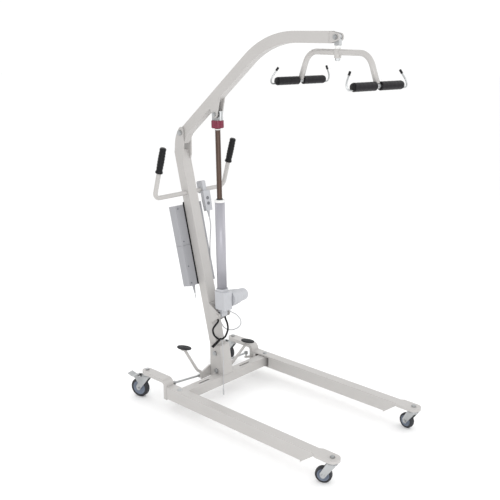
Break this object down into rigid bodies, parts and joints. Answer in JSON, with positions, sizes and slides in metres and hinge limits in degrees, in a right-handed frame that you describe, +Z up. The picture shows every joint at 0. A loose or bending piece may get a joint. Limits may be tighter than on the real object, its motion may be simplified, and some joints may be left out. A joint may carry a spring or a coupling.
{
  "type": "patient lift hoist",
  "caption": "Floor-type electric patient lift: leaning mast with curved boom, actuator, spreader with sling bars, spreading legs on casters",
  "frame": {"origin": "On the floor under the middle of the hoist's bounding box", "axes": "+X to the right side (seen from the handles looking forward is -Y), -Y toward the front casters, +Z up"},
  "size_m": [0.7195, 1.3476, 1.8465],
  "materials": {
    "frame_paint": "satin",
    "zinc": "satin",
    "black_plastic": "matte",
    "black_foam": "matte",
    "pale_plastic": "satin",
    "dark_plastic": "matte",
    "hub_plastic": "satin",
    "tyre": "matte",
    "pad_rubber": "matte",
    "tube_aluminium": "satin",
    "rod_bronze": "satin",
    "ring_red": "satin",
    "stop_red": "gloss",
    "white_plastic": "gloss",
    "cord_grey": "matte",
    "cord_black": "matte"
  },
  "bodies": {
    "base": {"cross_beam": "frame_paint", "mast_socket": "frame_paint", "base_bolts": "zinc", "mast": "frame_paint", "handlebar": "frame_paint", "left_grip": "black_plastic", "right_grip": "black_plastic", "boom_pivot_bolt": "zinc", "actuator_housing": "pale_plastic", "actuator_motor": "pale_plastic", "actuator_tube": "tube_aluminium", "box_plate": "black_plastic", "control_box": "pale_plastic", "hand_control": "pale_plastic", "handset_cord": "cord_grey", "motor_cord": "cord_grey", "hanging_lead": "cord_grey", "lead_plug": "cord_grey", "cable_loop": "cord_black"},
    "left_side": {"left_leg": "frame_paint", "left_gooseneck": "frame_paint", "left_caster_stems": "zinc"},
    "right_side": {"right_leg": "frame_paint", "right_gooseneck": "frame_paint", "right_caster_stems": "zinc"},
    "rocker": {"pedal_rocker": "frame_paint", "pedal_pads": "pad_rubber"},
    "left_rod": {"left_tie_rod": "zinc"},
    "right_rod": {"right_tie_rod": "zinc"},
    "boom_arm": {"boom": "frame_paint", "boom_clevis": "frame_paint", "boom_bracket": "frame_paint", "boom_bolts": "zinc"},
    "hanger": {"hanger_block": "zinc", "swivel_collar": "white_plastic"},
    "spreader": {"spreader_frame": "frame_paint", "sling_bars": "zinc", "bar_foams": "black_foam", "hook_tips": "black_plastic"},
    "rod": {"piston_rod": "rod_bronze", "rod_head": "zinc"},
    "ring": {"release_ring": "ring_red"},
    "battery": {"battery_pack": "pale_plastic"},
    "stop": {"emergency_stop": "stop_red"},
    "up": {"up_button": "dark_plastic"},
    "down": {"down_button": "dark_plastic"},
    "front_left_caster": {"front_left_fork": "zinc"},
    "front_left_wheel": {"front_left_hub": "hub_plastic", "front_left_tyre": "tyre"},
    "front_right_caster": {"front_right_fork": "zinc"},
    "front_right_wheel": {"front_right_hub": "hub_plastic", "front_right_tyre": "tyre"},
    "rear_left_caster": {"rear_left_fork": "zinc"},
    "rear_left_wheel": {"rear_left_hub": "hub_plastic", "rear_left_tyre": "tyre"},
    "rear_left_brake_body": {"rear_left_brake": "zinc"},
    "rear_right_caster": {"rear_right_fork": "zinc"},
    "rear_right_wheel": {"rear_right_hub": "hub_plastic", "rear_right_tyre": "tyre"},
    "rear_right_brake_body": {"rear_right_brake": "zinc"}
  },
  "joints": [
    {"name": "left_leg_splay", "type": "hinge", "parent": "base", "child": "left_side", "pos_m": [-0.3112, 0.3122, 0.09], "axis": [0, 0, -1], "range_deg": [0, 11]},
    {"name": "right_leg_splay", "type": "hinge", "parent": "base", "child": "right_side", "pos_m": [0.3248, 0.3122, 0.09], "axis": [0, 0, 1], "range_deg": [0, 11.1]},
    {"name": "pedal_tilt", "type": "hinge", "parent": "base", "child": "rocker", "pos_m": [0.0068, 0.3882, 0.105], "axis": [0, 1, 0], "range_deg": [-24.8, 0.2]},
    {"name": "left_rod_turn", "type": "hinge", "parent": "rocker", "child": "left_rod", "pos_m": [-0.0856, 0.4092, 0.0944], "axis": [0, 1, 0], "range_deg": [-0.2, 37.4]},
    {"name": "right_rod_turn", "type": "hinge", "parent": "rocker", "child": "right_rod", "pos_m": [0.0992, 0.4092, 0.1156], "axis": [0, 1, 0], "range_deg": [-0.2, 37.4]},
    {"name": "front_left_swivel", "type": "hinge", "parent": "left_side", "child": "front_left_caster", "pos_m": [-0.3112, -0.6388, 0.1], "axis": [0, 0, 1], "continuous": true},
    {"name": "front_left_roll", "type": "hinge", "parent": "front_left_caster", "child": "front_left_wheel", "pos_m": [-0.32584, -0.60591, 0.0375], "axis": [0.9135, 0.4067, 0], "continuous": true},
    {"name": "front_right_swivel", "type": "hinge", "parent": "right_side", "child": "front_right_caster", "pos_m": [0.3248, -0.6388, 0.1], "axis": [0, 0, 1], "continuous": true},
    {"name": "front_right_roll", "type": "hinge", "parent": "front_right_caster", "child": "front_right_wheel", "pos_m": [0.32981, -0.60315, 0.0375], "axis": [0.9903, -0.1392, 0], "continuous": true},
    {"name": "rear_left_swivel", "type": "hinge", "parent": "left_side", "child": "rear_left_caster", "pos_m": [-0.3112, 0.5592, 0.1], "axis": [0, 0, 1], "continuous": true},
    {"name": "rear_left_roll", "type": "hinge", "parent": "rear_left_caster", "child": "rear_left_wheel", "pos_m": [-0.32336, 0.6046, 0.05], "axis": [0.9659, 0.2588, 0], "continuous": true},
    {"name": "rear_left_brake_press", "type": "hinge", "parent": "rear_left_caster", "child": "rear_left_brake_body", "pos_m": [-0.32776, 0.62102, 0.11], "axis": [0.9659, 0.2588, 0], "range_deg": [-12, 0]},
    {"name": "rear_right_swivel", "type": "hinge", "parent": "right_side", "child": "rear_right_caster", "pos_m": [0.3248, 0.5592, 0.1], "axis": [0, 0, 1], "continuous": true},
    {"name": "rear_right_roll", "type": "hinge", "parent": "rear_right_caster", "child": "rear_right_wheel", "pos_m": [0.31664, 0.60549, 0.05], "axis": [0.9848, 0.1736, 0], "continuous": true},
    {"name": "rear_right_brake_press", "type": "hinge", "parent": "rear_right_caster", "child": "rear_right_brake_body", "pos_m": [0.31369, 0.62223, 0.11], "axis": [0.9848, 0.1736, 0], "range_deg": [-12, 0]},
    {"name": "boom_lift", "type": "hinge", "parent": "base", "child": "boom_arm", "pos_m": [0.0068, 0.5832, 1.35], "axis": [-1, 0, 0], "range_deg": [-55, 5]},
    {"name": "rod_extend", "type": "slide", "parent": "base", "child": "rod", "axis": [0, 0.024, 0.9997], "range_m": [-0.2405, 0.0225]},
    {"name": "ring_turn", "type": "hinge", "parent": "rod", "child": "ring", "pos_m": [0.0068, 0.34459, 1.41072], "axis": [0, 0.024, 0.9997], "range_deg": [0, 40]},
    {"name": "hanger_swing", "type": "hinge", "parent": "boom_arm", "child": "hanger", "pos_m": [0.0068, -0.3678, 1.822], "axis": [-1, 0, 0], "range_deg": [-5, 60]},
    {"name": "spreader_swivel", "type": "hinge", "parent": "hanger", "child": "spreader", "pos_m": [0.0068, -0.3678, 1.755], "axis": [0, 0, 1], "continuous": true},
    {"name": "battery_lift", "type": "slide", "parent": "base", "child": "battery", "axis": [0, 0.2385, 0.9711], "range_m": [0, 0.05]},
    {"name": "stop_press", "type": "slide", "parent": "base", "child": "stop", "axis": [0, -0.9711, 0.2385], "range_m": [0, 0.004], "stiffness_N_per_m": 600},
    {"name": "up_press", "type": "slide", "parent": "base", "child": "up", "axis": [0, 0.9744, -0.225], "range_m": [0, 0.0015], "stiffness_N_per_m": 300},
    {"name": "down_press", "type": "slide", "parent": "base", "child": "down", "axis": [0, 0.9744, -0.225], "range_m": [0, 0.0015], "stiffness_N_per_m": 300}
  ],
  "couplings": [
    {"joint": "right_leg_splay", "follows": "left_leg_splay", "ratio": 1},
    {"joint": "pedal_tilt", "follows": "left_leg_splay", "ratio": -2.2364},
    {"joint": "left_rod_turn", "follows": "left_leg_splay", "ratio": 3.3636},
    {"joint": "right_rod_turn", "follows": "left_leg_splay", "ratio": 3.3546},
    {"joint": "rod_extend", "follows": "boom_lift", "m_per_rad": 0.2496}
  ]
}
